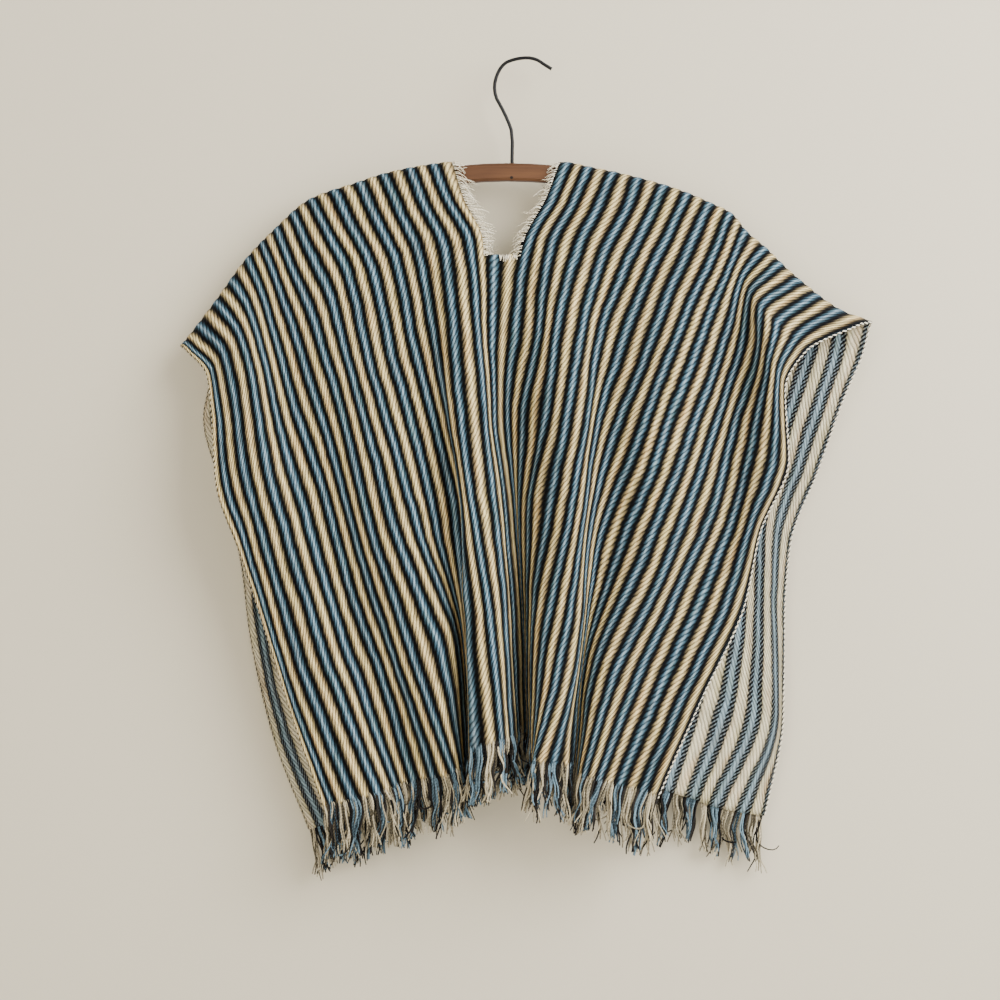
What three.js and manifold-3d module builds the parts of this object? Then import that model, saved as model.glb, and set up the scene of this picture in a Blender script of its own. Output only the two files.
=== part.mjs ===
// A striped woven poncho hanging on a wooden hanger, in millimetres: X to the viewer's right, Y away
// from the viewer, Z up. The origin is the underside of the hook's crown, where the hanger is held.

import * as THREE from "three";
import Module from "manifold-3d";

const REPEAT = 25; // width of one blue, black, cream, black repeat; stripe numbers count repeats
const WALL = 2; // thickness of the cloth
const SEAM = 0.3; // gap between neighbouring pieces
const DROP = 580; // cloth length from the shoulder line to a hem
const SHOULDER_RADIUS = 8; // the cloth turns over the bar on this radius
const SLOT_LEFT = -0.3; // stripe numbers of the neck slot's two edges
const SLOT_RIGHT = 0.7;
const SLOT_END = 0.171; // the slot ends this share of the way to the hem

// Levels, as shares of the way from the shoulder to the hem, of the x columns below.
const LEVELS = [0, 0.07, 0.15, 0.3, 0.45, 0.6, 0.8, 1];

// Guide stripes: stripe number, height at the shoulder and at the hem, x at each level.
const FRONT_STRIPES = [
  { stripe: -14.6, top: -285, hem: -745, x: [-335, -305, -299, -294, -271, -249, -220, -188] },
  { stripe: -14, top: -282, hem: -742, x: [-332, -300, -293, -285, -264, -244, -215, -180] },
  { stripe: -12, top: -242, hem: -732, x: [-301, -274, -261, -248, -229, -207, -173, -134] },
  { stripe: -10, top: -198, hem: -722, x: [-269, -253, -240, -217, -190, -169, -132, -100] },
  { stripe: -8, top: -168, hem: -711, x: [-240, -225, -206, -179, -157, -134, -97, -60] },
  { stripe: -6, top: -139, hem: -699, x: [-206, -187, -165, -144, -119, -95, -58, -51] },
  { stripe: -4, top: -122, hem: -688, x: [-158, -140, -119, -101, -78, -60, -49, -45] },
  { stripe: -3, top: -114, hem: -683, x: [-134, -117, -96, -80, -65, -53, -46, -39] },
  { stripe: -2, top: -108, hem: -677, x: [-108, -92, -71, -61, -54, -43, -25, -14] },
  { stripe: -1, top: -104, hem: -674, x: [-84, -68, -46, -38, -31, -22, -11, -5] },
  { stripe: -0.3, top: -102, hem: -672, x: [-63, -51, -31, -29, -25, -15, -6, 0] },
  { stripe: 0.7, top: -102, hem: -671, x: [43, 28, 5, -8, -13, -4, 3, 7] },
  { stripe: 2, top: -107, hem: -674, x: [74, 57, 34, 22, 7, 4, 8, 11] },
  { stripe: 3, top: -112, hem: -678, x: [99, 82, 60, 39, 28, 13, 11, 13] },
  { stripe: 4, top: -118, hem: -683, x: [124, 108, 85, 62, 47, 31, 16, 15] },
  { stripe: 5, top: -125, hem: -689, x: [149, 131, 109, 79, 66, 51, 27, 17] },
  { stripe: 6, top: -133, hem: -695, x: [172, 155, 133, 100, 76, 64, 45, 16] },
  { stripe: 7, top: -143, hem: -699, x: [195, 177, 156, 124, 91, 71, 61, 34] },
  { stripe: 8, top: -153, hem: -702, x: [215, 199, 178, 144, 113, 82, 65, 54] },
  { stripe: 9, top: -171, hem: -705, x: [230, 213, 195, 163, 133, 102, 69, 58] },
  { stripe: 10, top: -188, hem: -708, x: [250, 223, 212, 184, 154, 122, 77, 61] },
  { stripe: 11, top: -203, hem: -712, x: [265, 231, 225, 201, 174, 144, 96, 64] },
  { stripe: 12, top: -220, hem: -716, x: [284, 240, 238, 216, 196, 163, 117, 78] },
  { stripe: 14, top: -250, hem: -727, x: [325, 273, 255, 253, 230, 208, 163, 121] },
  { stripe: 14.85, top: -261, hem: -730, x: [355, 285, 263, 267, 239, 224, 180, 137] },
];
const BACK_STRIPES = [
  { stripe: -14.6, top: -285, hem: -771, x: [-335, -307, -313, -294, -276, -267, -245, -208] },
  { stripe: -13, top: -262, hem: -760, x: [-317, -290, -282, -262, -246, -240, -218, -176] },
  { stripe: -10, top: -198, hem: -738, x: [-269, -254, -242, -222, -200, -190, -158, -134] },
  { stripe: -6, top: -139, hem: -712, x: [-206, -187, -166, -152, -132, -118, -98, -80] },
  { stripe: -3, top: -114, hem: -694, x: [-134, -117, -96, -84, -64, -41, -27, -22] },
  { stripe: -0.3, top: -102, hem: -682, x: [-63, -51, -31, -22, -16, -10, -4, -1] },
  { stripe: 0.7, top: -102, hem: -680, x: [43, 28, 5, 2, 2, 5, 8, 10] },
  { stripe: 4, top: -118, hem: -686, x: [124, 108, 85, 70, 60, 52, 44, 38] },
  { stripe: 8, top: -153, hem: -704, x: [215, 200, 179, 158, 138, 122, 98, 82] },
  { stripe: 11, top: -203, hem: -729, x: [265, 262, 250, 228, 212, 200, 180, 150] },
  { stripe: 12, top: -220, hem: -739, x: [284, 281, 267, 244, 228, 226, 212, 177] },
  { stripe: 13, top: -237, hem: -748, x: [305, 301, 288, 264, 246, 244, 240, 200] },
  { stripe: 14, top: -250, hem: -754, x: [330, 324, 311, 286, 262, 259, 262, 228] },
  { stripe: 14.85, top: -261, hem: -757, x: [356, 347, 330, 304, 276, 270, 269, 250] },
];

// Levels of the fold columns below.
const FOLD_LEVELS = [0, 0.12, 0.3, 0.6, 1];

// Crests and valleys of the folds from left to right: the stripe each one follows and how far it
// stands from the plane of the hanger, forward on the front panel and back on the back panel.
const FRONT_FOLDS = [
  { name: "left edge", at: [-14.6, -14.6, -14.6, -14.6, -14.6], out: [8, 32, 40, 30, 30] },
  { name: "left sleeve crest", at: [-13, -12.8, -12.6, -12.4, -12.4], out: [8, 36, 44, 36, 36] },
  { name: "left sleeve valley", at: [-9.6, -9.8, -10.2, -10.3, -10.4], out: [8, 16, 20, 22, 22] },
  { name: "left field crest", at: [-7, -7, -7, -7.2, -8], out: [8, 14, 28, 42, 46] },
  { name: "left pleat", at: [-3, -3.6, -3.5, -4.2, -5.4], out: [8, 12, 16, 20, 8] },
  { name: "left ridge", at: [-1.4, -1.4, -1.7, -2.4, -2.7], out: [8, 16, 34, 52, 66] },
  { name: "centre valley", at: [0.3, 0.3, 0.3, 1.5, 1.7], out: [8, 12, 18, 0, -4] },
  { name: "right ridge", at: [3, 3, 3.4, 5.2, 6.3], out: [8, 16, 40, 52, 66] },
  { name: "right pleat", at: [5.6, 5.6, 5.6, 7.9, 9], out: [8, 12, 20, 26, 28] },
  { name: "right field crest", at: [7.6, 7.6, 8, 10.4, 11.2], out: [8, 16, 34, 46, 56] },
  { name: "right sleeve valley", at: [9.4, 10.6, 11.6, 13.2, 13.4], out: [8, 14, 18, 36, 50] },
  { name: "right sleeve crest", at: [12, 13, 14.2, 14.2, 14.4], out: [8, 46, 42, 38, 54] },
  { name: "right edge", at: [14.85, 14.85, 14.85, 14.85, 14.85], out: [8, 38, 36, 34, 50] },
];
const BACK_FOLDS = [
  { name: "left edge", at: [-14.6, -14.6, -14.6, -14.6, -14.6], out: [8, 8, 10, 14, 16] },
  { name: "left sleeve", at: [-12, -12, -12.4, -12.4, -12.4], out: [8, 10, 14, 17, 17] },
  { name: "left hollow", at: [-9, -9, -9.5, -9.5, -9.5], out: [8, 9, 5, -6, -12] },
  { name: "left wave", at: [-6, -6, -6, -5.2, -5], out: [8, 10, 16, 18, 18] },
  { name: "left inner hollow", at: [-3, -3, -3, -2.8, -2.5], out: [8, 9, 6, -10, -24] },
  { name: "centre wave", at: [0.2, 0.2, 0.2, 0.4, 0.4], out: [8, 10, 16, 18, 18] },
  { name: "right inner hollow", at: [4, 4, 4, 4, 4], out: [8, 9, 6, -12, -30] },
  { name: "right wave", at: [7, 7, 7, 6.8, 6.8], out: [8, 10, 16, 18, 18] },
  { name: "right hollow", at: [10, 10, 10.2, 10.2, 10], out: [8, 9, 6, -4, -16] },
  { name: "right sleeve", at: [12.6, 12.6, 13, 13.1, 12.6], out: [8, 9, 10, 6, 14] },
  { name: "right edge", at: [14.85, 14.85, 14.85, 14.85, 14.85], out: [8, 8, 14, 16, 16] },
];

// Grid lines of the two panels: stretches of stripes, each cut into even steps.
const FRONT_COLUMNS = [
  [-14.6, -6, 13], [-6, SLOT_LEFT, 15], [SLOT_LEFT, SLOT_RIGHT, 2], [SLOT_RIGHT, 10.2, 23], [10.2, 14.85, 8],
];
const BACK_COLUMNS = [[-14.6, SLOT_LEFT, 21], [SLOT_LEFT, SLOT_RIGHT, 2], [SLOT_RIGHT, 14.85, 21]];
const FRONT_ROWS = [[0, 0.0217, 3], [0.0217, SLOT_END, 4], [SLOT_END, 1, 18]];
const BACK_ROWS = [[0, 0.0217, 3], [0.0217, SLOT_END, 3], [SLOT_END, 1, 13]];

// Hem fringes: locks of yarn, lengths at the sides and at the middle.
const LOCKS = 68;
const LOCK_RADIUS = 1.6;
const LOCK_AT_SIDE = 46;
const LOCK_AT_MIDDLE = 43;
const STRIP_HEIGHT = 3;
const STRIP_GAP = 0.9;

// Frayed neck: weft ends standing out of a thin strip along each edge of the slot.
const ENDS_FRONT = 22;
const ENDS_BACK = 8;
const END_RADIUS = 0.8;
const END_LENGTH = 12;
const NECK_STRIP = 1.6;
const NECK_GAP = 0.4;

// Hanger bar: a bowed stick, rounded along its top edges.
const BAR_HEIGHT = 18;
const BAR_TOP = -102;
const BAR_CENTRE = -8;
const BAR_BOW = 470;
const BAR_HALF = 211;
const BAR_PROFILE = [[-4, -18], [4, -18], [6, -15.5], [6, -6], [5.2, -3], [3, -0.8], [0, 0], [-3, -0.8], [-5.2, -3], [-6, -6], [-6, -15.5]];

// Hanger hook: a bent wire, as x and z of its bends from the bar to the tip.
const WIRE_RADIUS = 1.75;
const WIRE = [[-4, -119.5], [-4, -98], [-4.3, -71], [-9, -58], [-15, -45.5], [-20, -36], [-21.5, -26], [-20, -17], [-16, -8],
  [-10, -1.6], [0, 1.9], [8, 3.1], [15, 2.9], [22, 0.7], [28, -3.3], [35.6, -8]];

const wasm = await Module();
wasm.setup();

// Smooth curve through the values ys at xs, with no overshoot between them.
function spline(xs, ys, x) {
  const last = xs.length - 1;
  if (x <= xs[0]) return ys[0];
  if (x >= xs[last]) return ys[last];
  let i = 0;
  while (x > xs[i + 1]) i += 1;
  const rise = (k) => (ys[k + 1] - ys[k]) / (xs[k + 1] - xs[k]);
  const slope = (k) => {
    if (k === 0) return rise(0);
    if (k === last) return rise(last - 1);
    const a = rise(k - 1);
    const b = rise(k);
    return a * b <= 0 ? 0 : (2 * a * b) / (a + b);
  };
  const h = xs[i + 1] - xs[i];
  const t = (x - xs[i]) / h;
  const s = 1 - t;
  return (
    ys[i] * (1 + 2 * t) * s * s + slope(i) * h * t * s * s +
    ys[i + 1] * t * t * (3 - 2 * t) - slope(i + 1) * h * t * t * s
  );
}

// The flank of a fold between crest and valley: the cloth turns to a lean, runs straight and turns
// back. Gives the lean and the share of the flank that each turn takes.
function flankShape(run, rise) {
  const q = Math.min(Math.abs(rise) / run, 0.93);
  if (q >= 2 / Math.PI) return { lean: Math.PI / 2, turn: (1 - q) / (2 * (1 - 2 / Math.PI)) };
  let low = 0;
  let high = Math.PI / 2;
  for (let i = 0; i < 30; i += 1) {
    const middle = (low + high) / 2;
    if ((1 - Math.cos(middle)) / middle < q) low = middle;
    else high = middle;
  }
  return { lean: low, turn: 0.5 };
}

// How far a flank has risen and gone across, as shares of its run, the share s along it.
function alongFlank(s, shape) {
  if (s > 0.5) {
    const mirrored = alongFlank(1 - s, shape);
    const half = alongFlank(0.5, shape);
    return { rise: 2 * half.rise - mirrored.rise, across: 2 * half.across - mirrored.across };
  }
  const { lean, turn } = shape;
  const rate = lean / turn;
  if (rate < 1e-6) return { rise: 0, across: s };
  if (s <= turn) return { rise: (1 - Math.cos(s * rate)) / rate, across: Math.sin(s * rate) / rate };
  return {
    rise: (1 - Math.cos(lean)) / rate + (s - turn) * Math.sin(lean),
    across: Math.sin(lean) / rate + (s - turn) * Math.cos(lean),
  };
}

// One level of a panel: a function from stripe number to a point of the cloth's middle surface.
function sectionOf(panel, t) {
  const at = panel.folds.map((fold) => spline(FOLD_LEVELS, fold.at, t));
  const out = panel.folds.map((fold) => spline(FOLD_LEVELS, fold.out, t));
  let across = 0;
  const flanks = at.slice(1).map((to, i) => {
    const run = (to - at[i]) * REPEAT;
    const shape = flankShape(run, out[i + 1] - out[i]);
    const whole = alongFlank(1, shape);
    const flank = { from: at[i], to, out: out[i], rise: out[i + 1] - out[i], run, shape, whole, across };
    across += whole.across * run;
    return flank;
  });
  const onFold = (stripe) => {
    const flank = flanks.find((f) => stripe <= f.to) || flanks[flanks.length - 1];
    const s = Math.min(Math.max((stripe - flank.from) / (flank.to - flank.from), 0), 1);
    const part = alongFlank(s, flank.shape);
    const share = flank.whole.rise > 1e-9 ? part.rise / flank.whole.rise : s;
    return { out: flank.out + flank.rise * share, across: flank.across + part.across * flank.run };
  };
  const stripes = panel.stripes.map((row) => row.stripe);
  const tops = panel.stripes.map((row) => row.top);
  const hems = panel.stripes.map((row) => row.hem);
  const xs = panel.stripes.map((row) => spline(LEVELS, row.x, t));
  const places = stripes.map((stripe) => onFold(stripe).across);
  const turned = Math.min((t * DROP) / SHOULDER_RADIUS, Math.PI / 2);
  const arc = SHOULDER_RADIUS * (Math.PI / 2);
  return (stripe) => {
    const fold = onFold(stripe);
    const top = spline(stripes, tops, stripe);
    const fall = top - spline(stripes, hems, stripe);
    const beyond = Math.max(t * DROP - arc, 0) / (DROP - arc);
    const z = top - SHOULDER_RADIUS * (1 - Math.cos(turned)) - (fall - SHOULDER_RADIUS) * beyond;
    const y = panel.side * (fold.out * Math.sin(turned) + SEAM / 2);
    return new THREE.Vector3(spline(places, xs, fold.across), y, z);
  };
}

const FRONT = { side: -1, stripes: FRONT_STRIPES, folds: FRONT_FOLDS };
const BACK = { side: 1, stripes: BACK_STRIPES, folds: BACK_FOLDS };

// Even steps along several stretches, as one rising list.
function steps(stretches) {
  const list = [stretches[0][0]];
  for (const [from, to, count] of stretches) {
    for (let i = 1; i <= count; i += 1) list.push(from + ((to - from) * i) / count);
  }
  return list;
}

const inSlot = (stripe, t) => stripe > SLOT_LEFT && stripe < SLOT_RIGHT && t < SLOT_END;

// A closed mesh from corner points and faces of three or four corners.
function meshOf(points, faces) {
  const triangles = [];
  for (const face of faces) {
    for (let i = 2; i < face.length; i += 1) triangles.push(face[0], face[i - 1], face[i]);
  }
  const geometry = new THREE.BufferGeometry();
  geometry.setAttribute("position", new THREE.Float32BufferAttribute(points.flatMap((p) => [p.x, p.y, p.z]), 3));
  geometry.setIndex(triangles);
  return geometry;
}

// A cloth panel of even thickness over a grid of stripes and levels, open at the neck slot.
function panelGeometry(panel, columns, rows) {
  const us = steps(columns);
  const ts = steps(rows);
  const wide = us.length;
  const grid = ts.map((t) => us.map(sectionOf(panel, t)));
  const normals = grid.map((line) => line.map(() => new THREE.Vector3()));
  const quads = [];
  for (let j = 0; j + 1 < ts.length; j += 1) {
    for (let i = 0; i + 1 < wide; i += 1) {
      if (inSlot((us[i] + us[i + 1]) / 2, (ts[j] + ts[j + 1]) / 2)) continue;
      quads.push([i, j]);
      const one = grid[j + 1][i + 1].clone().sub(grid[j][i]);
      const two = grid[j + 1][i].clone().sub(grid[j][i + 1]);
      const normal = two.cross(one).normalize();
      for (const [a, b] of [[i, j], [i + 1, j], [i, j + 1], [i + 1, j + 1]]) normals[b][a].add(normal);
    }
  }
  const points = [];
  for (const side of [1, -1]) {
    grid.forEach((line, j) => line.forEach((point, i) => {
      const normal = normals[j][i];
      if (j === 0) normal.y = 0;
      points.push(point.clone().addScaledVector(normal.normalize(), (side * WALL) / 2));
    }));
  }
  const id = (i, j) => j * wide + i;
  const under = wide * ts.length;
  const present = new Set(quads.map(([i, j]) => id(i, j)));
  const faces = [];
  const rim = (a, b) => faces.push([a, a + under, b + under, b]);
  for (const [i, j] of quads) {
    const corners = [id(i, j), id(i, j + 1), id(i + 1, j + 1), id(i + 1, j)];
    faces.push(corners, corners.map((c) => c + under).reverse());
    const has = (a, b) => a >= 0 && a < wide - 1 && b >= 0 && b < ts.length - 1 && present.has(id(a, b));
    if (!has(i - 1, j)) rim(corners[0], corners[1]);
    if (!has(i, j + 1)) rim(corners[1], corners[2]);
    if (!has(i + 1, j)) rim(corners[2], corners[3]);
    if (!has(i, j - 1)) rim(corners[3], corners[0]);
  }
  return meshOf(points, faces);
}

// A sweep through rings of points, closed at both ends.
function sweptGeometry(rings) {
  const sides = rings[0].length;
  const faces = [rings[0].map((_, i) => i).reverse()];
  for (let k = 0; k + 1 < rings.length; k += 1) {
    for (let i = 0; i < sides; i += 1) {
      const next = (i + 1) % sides;
      faces.push([k * sides + i, k * sides + next, (k + 1) * sides + next, (k + 1) * sides + i]);
    }
  }
  faces.push(rings[0].map((_, i) => (rings.length - 1) * sides + i));
  return meshOf(rings.flat(), faces);
}

function solidOf(geometry) {
  const solid = new wasm.Manifold(new wasm.Mesh({
    numProp: 3,
    vertProperties: new Float32Array(geometry.attributes.position.array),
    triVerts: new Uint32Array(geometry.index.array),
  }));
  return solid;
}

function geometryOf(solid) {
  const mesh = solid.getMesh();
  const points = [];
  for (let i = 0; i < mesh.numVert; i += 1) {
    points.push(new THREE.Vector3().fromArray(mesh.vertProperties, i * mesh.numProp));
  }
  const geometry = meshOf(points, []);
  geometry.setIndex([...mesh.triVerts]);
  return geometry;
}

// One solid from overlapping closed pieces, with any pocket shut in between them filled.
function joinedGeometry(pieces) {
  const whole = wasm.Manifold.union(pieces.map(solidOf));
  return geometryOf(wasm.Manifold.union(whole.decompose().filter((body) => body.volume() > 0)).simplify(0.12));
}

// A repeatable number from 0 to 1 for each lock and use.
function chance(index, use) {
  const value = Math.sin(index * 12.9898 + use * 78.233) * 43758.5453;
  return value - Math.floor(value);
}

// A three-sided strand along a path of points, thinner toward its tip.
function strandGeometry(path, radii) {
  const rings = path.map((point, k) => {
    const ahead = (path[k + 1] || point).clone().sub(path[k - 1] || point).normalize();
    const first = new THREE.Vector3(0, 1, 0).cross(ahead).normalize();
    const second = ahead.clone().cross(first).normalize();
    return [0, 1, 2].map((i) => {
      const angle = (i * 2 * Math.PI) / 3;
      return point.clone()
        .addScaledVector(first, radii[k] * Math.cos(angle))
        .addScaledVector(second, radii[k] * Math.sin(angle));
    });
  });
  return sweptGeometry(rings);
}

// The fringe of a hem: locks hanging from a narrow strip just under the cloth's edge.
function fringeGeometry(panel, columns) {
  const hem = sectionOf(panel, 1);
  const above = sectionOf(panel, 0.985);
  const us = steps(columns);
  const edges = us.map(hem);
  const downs = us.map((stripe, i) => edges[i].clone().sub(above(stripe)).normalize());
  const strip = us.map((stripe, i) => {
    const edge = edges[i];
    const along = (edges[i + 1] || edge).clone().sub(edges[i - 1] || edge).normalize();
    const down = downs[i].clone().addScaledVector(along, -0.7 * along.dot(downs[i])).normalize();
    const out = along.cross(down).normalize();
    const corner = (depth, side) => edge.clone().addScaledVector(down, depth).addScaledVector(out, side);
    const low = STRIP_GAP + STRIP_HEIGHT;
    const thick = WALL * 0.4;
    return [corner(low, -thick), corner(low, thick), corner(STRIP_GAP, thick), corner(STRIP_GAP, -thick)];
  });
  const pieces = [sweptGeometry(strip)];
  for (let i = 0; i < LOCKS; i += 1) {
    const stripe = us[0] + ((i + 0.5) * (us[us.length - 1] - us[0])) / LOCKS;
    const k = us.findIndex((u) => u > stripe) - 1;
    const part = (stripe - us[k]) / (us[k + 1] - us[k]);
    const root = edges[k].clone().lerp(edges[k + 1], part);
    const down = downs[k].clone().lerp(downs[k + 1], part).normalize();
    const side = Math.abs(stripe) / 14.7;
    const length = (LOCK_AT_MIDDLE + (LOCK_AT_SIDE - LOCK_AT_MIDDLE) * side) * (0.86 + 0.28 * chance(i, panel.side + 2));
    const sway = 4 * Math.sin(i * 0.7 + panel.side) + 2 * (chance(i, panel.side + 5) - 0.5);
    const lift = 2 * (chance(i, panel.side + 8) - 0.5);
    const start = root.clone().addScaledVector(down, STRIP_GAP + 1.2);
    const middle = start.clone().addScaledVector(down, length * 0.3);
    middle.z -= length * 0.2;
    middle.x += sway * 0.3;
    const tip = start.clone().addScaledVector(down, length * 0.3);
    tip.z -= length * 0.68;
    tip.x += sway;
    tip.y += lift;
    pieces.push(strandGeometry([start, middle, tip], [WALL * 0.3, LOCK_RADIUS, LOCK_RADIUS * 0.45]));
  }
  return joinedGeometry(pieces);
}

// The frayed edge of the neck slot, from the front slot end over the shoulder to the back slot end.
function neckGeometry(stripe, inward) {
  const placesOn = (panel, rows) => steps(rows).filter((t) => t <= SLOT_END).map((t) => {
    const line = sectionOf(panel, t);
    const edge = line(stripe);
    const along = sectionOf(panel, t + 0.004)(stripe).sub(edge).normalize();
    const across = edge.clone().sub(line(stripe - inward * 0.25));
    across.addScaledVector(along, -across.dot(along)).normalize();
    const out = along.clone().cross(across).normalize();
    const outward = out.z + out.y * panel.side > 0 ? out : out.negate();
    if (t === 0) outward.y = 0;
    return { edge, across, outward };
  });
  const front = placesOn(FRONT, FRONT_ROWS).reverse();
  const back = placesOn(BACK, BACK_ROWS);
  const top = front.pop();
  back.shift();
  top.edge.y = 0;
  for (const [last, before] of [[front[0], front[1]], [back[back.length - 1], back[back.length - 2]]]) {
    last.edge.lerp(before.edge, 0.2);
  }
  const strip = [...front, top, ...back].map(({ edge, across, outward }) => {
    const corner = (depth, side) => edge.clone().addScaledVector(across, depth).addScaledVector(outward, side);
    const deep = NECK_GAP + NECK_STRIP;
    const ring = [corner(NECK_GAP, -0.8), corner(NECK_GAP, 0.8), corner(deep, 0.8), corner(deep, -0.8)];
    return inward > 0 ? ring : ring.reverse();
  });
  const pieces = [sweptGeometry(strip)];
  const fray = (places, count, use) => {
    for (let i = 0; i < count; i += 1) {
      const place = ((places.length - 1) * (i + 0.5)) / count;
      const k = Math.floor(place);
      const edge = places[k].edge.clone().lerp(places[k + 1].edge, place - k);
      const across = places[k].across.clone().lerp(places[k + 1].across, place - k).normalize();
      const length = END_LENGTH * (0.75 + 0.5 * chance(i, use));
      const start = edge.clone().addScaledVector(across, NECK_GAP + NECK_STRIP * 0.5);
      const middle = start.clone().addScaledVector(across, length * 0.5);
      middle.z -= length * 0.08;
      const tip = start.clone().addScaledVector(across, length * 0.85);
      tip.z -= length * (0.25 + 0.25 * chance(i, use + 3));
      pieces.push(strandGeometry([start, middle, tip], [END_RADIUS * 0.7, END_RADIUS, END_RADIUS * 0.6]));
    }
  };
  fray(front.slice(0, -2), ENDS_FRONT, stripe * 3);
  fray(back.slice(2), ENDS_BACK, stripe * 5);
  return joinedGeometry(pieces);
}

// The bowed bar, bored for the wire.
function barGeometry() {
  const rings = [];
  for (let i = 0; i <= 18; i += 1) {
    const x = BAR_CENTRE + BAR_HALF * (i / 9 - 1);
    const top = BAR_TOP - (x - BAR_CENTRE) ** 2 / (2 * BAR_BOW);
    const end = i === 0 || i === 18 ? 0.8 : 1;
    const tilt = (x - BAR_CENTRE) / BAR_BOW;
    rings.push(BAR_PROFILE.map(([y, z]) => {
      const height = (z + BAR_HEIGHT / 2) * end - BAR_HEIGHT / 2;
      return new THREE.Vector3(x + height * tilt, y * end, top + height);
    }));
  }
  const hole = wasm.Manifold.cylinder(BAR_HEIGHT + 8, WIRE_RADIUS + SEAM, WIRE_RADIUS + SEAM, 16)
    .translate([WIRE[0][0], 0, BAR_TOP - BAR_HEIGHT - 4]);
  return geometryOf(solidOf(sweptGeometry(rings)).subtract(hole));
}

// The bent wire of the hook.
function hookGeometry() {
  const curve = new THREE.CatmullRomCurve3(WIRE.map(([x, z]) => new THREE.Vector3(x, 0, z)), false, "centripetal");
  const rings = [];
  for (let k = 0; k <= 28; k += 1) {
    const centre = curve.getPoint(k / 28);
    const ahead = curve.getTangent(k / 28);
    const side = new THREE.Vector3(0, 1, 0);
    const out = side.clone().cross(ahead).normalize();
    const ring = [];
    for (let i = 0; i < 8; i += 1) {
      const angle = (i * Math.PI) / 4;
      ring.push(centre.clone()
        .addScaledVector(out, WIRE_RADIUS * Math.cos(angle))
        .addScaledVector(ahead.clone().cross(out), WIRE_RADIUS * Math.sin(angle)));
    }
    rings.push(ring);
  }
  return sweptGeometry(rings);
}

const CLOTH = new THREE.MeshStandardMaterial({ color: 0x8f98a0, roughness: 0.95, side: THREE.DoubleSide });
const YARN = new THREE.MeshStandardMaterial({ color: 0xb9ae98, roughness: 0.95 });
const RAW_YARN = new THREE.MeshStandardMaterial({ color: 0xe6e0d0, roughness: 0.95 });
const WOOD = new THREE.MeshStandardMaterial({ color: 0x7d5236, roughness: 0.55 });
const STEEL = new THREE.MeshStandardMaterial({ color: 0x17181b, roughness: 0.4, metalness: 0.7 });

const group = new THREE.Group();
const addPiece = (name, geometry, material) => {
  const mesh = new THREE.Mesh(geometry, material);
  mesh.name = name;
  group.add(mesh);
};

addPiece("front", panelGeometry(FRONT, FRONT_COLUMNS, FRONT_ROWS), CLOTH);
addPiece("back", panelGeometry(BACK, BACK_COLUMNS, BACK_ROWS), CLOTH);
addPiece("fringe_front", fringeGeometry(FRONT, FRONT_COLUMNS), YARN);
addPiece("fringe_back", fringeGeometry(BACK, BACK_COLUMNS), YARN);
addPiece("neck_fringe_left", neckGeometry(SLOT_LEFT, 1), RAW_YARN);
addPiece("neck_fringe_right", neckGeometry(SLOT_RIGHT, -1), RAW_YARN);
addPiece("hanger_bar", barGeometry(), WOOD);
addPiece("hanger_hook", hookGeometry(), STEEL);

export default group;
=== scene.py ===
import math
import random

import bmesh
import bpy
from mathutils import Euler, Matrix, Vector, noise


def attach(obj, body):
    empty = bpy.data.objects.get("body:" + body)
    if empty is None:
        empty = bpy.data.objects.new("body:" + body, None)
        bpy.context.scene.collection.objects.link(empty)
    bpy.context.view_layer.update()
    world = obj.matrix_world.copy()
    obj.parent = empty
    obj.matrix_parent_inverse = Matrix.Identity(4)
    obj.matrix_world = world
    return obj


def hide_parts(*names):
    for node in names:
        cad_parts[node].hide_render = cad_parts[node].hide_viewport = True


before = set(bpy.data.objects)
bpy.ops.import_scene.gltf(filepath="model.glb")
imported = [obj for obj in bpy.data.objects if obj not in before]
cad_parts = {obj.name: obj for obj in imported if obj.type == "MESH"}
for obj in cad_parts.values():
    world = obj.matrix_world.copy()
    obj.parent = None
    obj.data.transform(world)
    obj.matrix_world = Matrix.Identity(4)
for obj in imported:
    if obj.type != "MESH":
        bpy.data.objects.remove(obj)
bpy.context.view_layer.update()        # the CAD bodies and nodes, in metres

print("frame loaded")

mm = 0.001

# The woven cloth: one piece over the bar, with a slot for the neck.
cloth = {
    "repeat": 25.0,             # blue, black, cream, black, in mm
    "wall": 2.0,                # thickness, mm
    "drop": 580.0,              # shoulder line to hem, mm
    "shoulderRadius": 8.0,      # the turn over the bar, mm
    "slot": (-0.3, 0.7),        # stripe numbers of the neck slot's edges
    "slotEnd": 0.171,           # share of the way to the hem
    "rowLength": 6.2,           # mesh rows, mm
    "ridge": 1.0,               # height of the stripes' ridges, mm
    "wave": 1.5,                # depth of the cloth's small waves, mm
    "smallWave": 0.45,          # the smaller waves' share of that
    "calm": (0.02, 0.1),        # the waves begin at this share of the drop, and are whole this much on
    "turnEnd": 0.0217,          # the turn over the bar ends at this share of the drop
    "turnRows": 4,
    "blend": 0.1,               # the back takes the front's shape over this share of the drop
    "edgeMargin": 0.05,         # stripes between a side and the next column
}
tipRadius = 0.02                # strands close at their ends, mm
weldDistance = 2e-7             # metres
ridgeSteps = [0.0, 3.5, 6.25, 9.0, 12.5, 16.0, 18.75, 21.5]    # mesh columns in a repeat, mm

levels = [0, 0.07, 0.15, 0.3, 0.45, 0.6, 0.8, 1]      # of the x columns, as shares of the drop
foldLevels = [0, 0.12, 0.3, 0.6, 1]                   # of the fold columns

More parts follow.
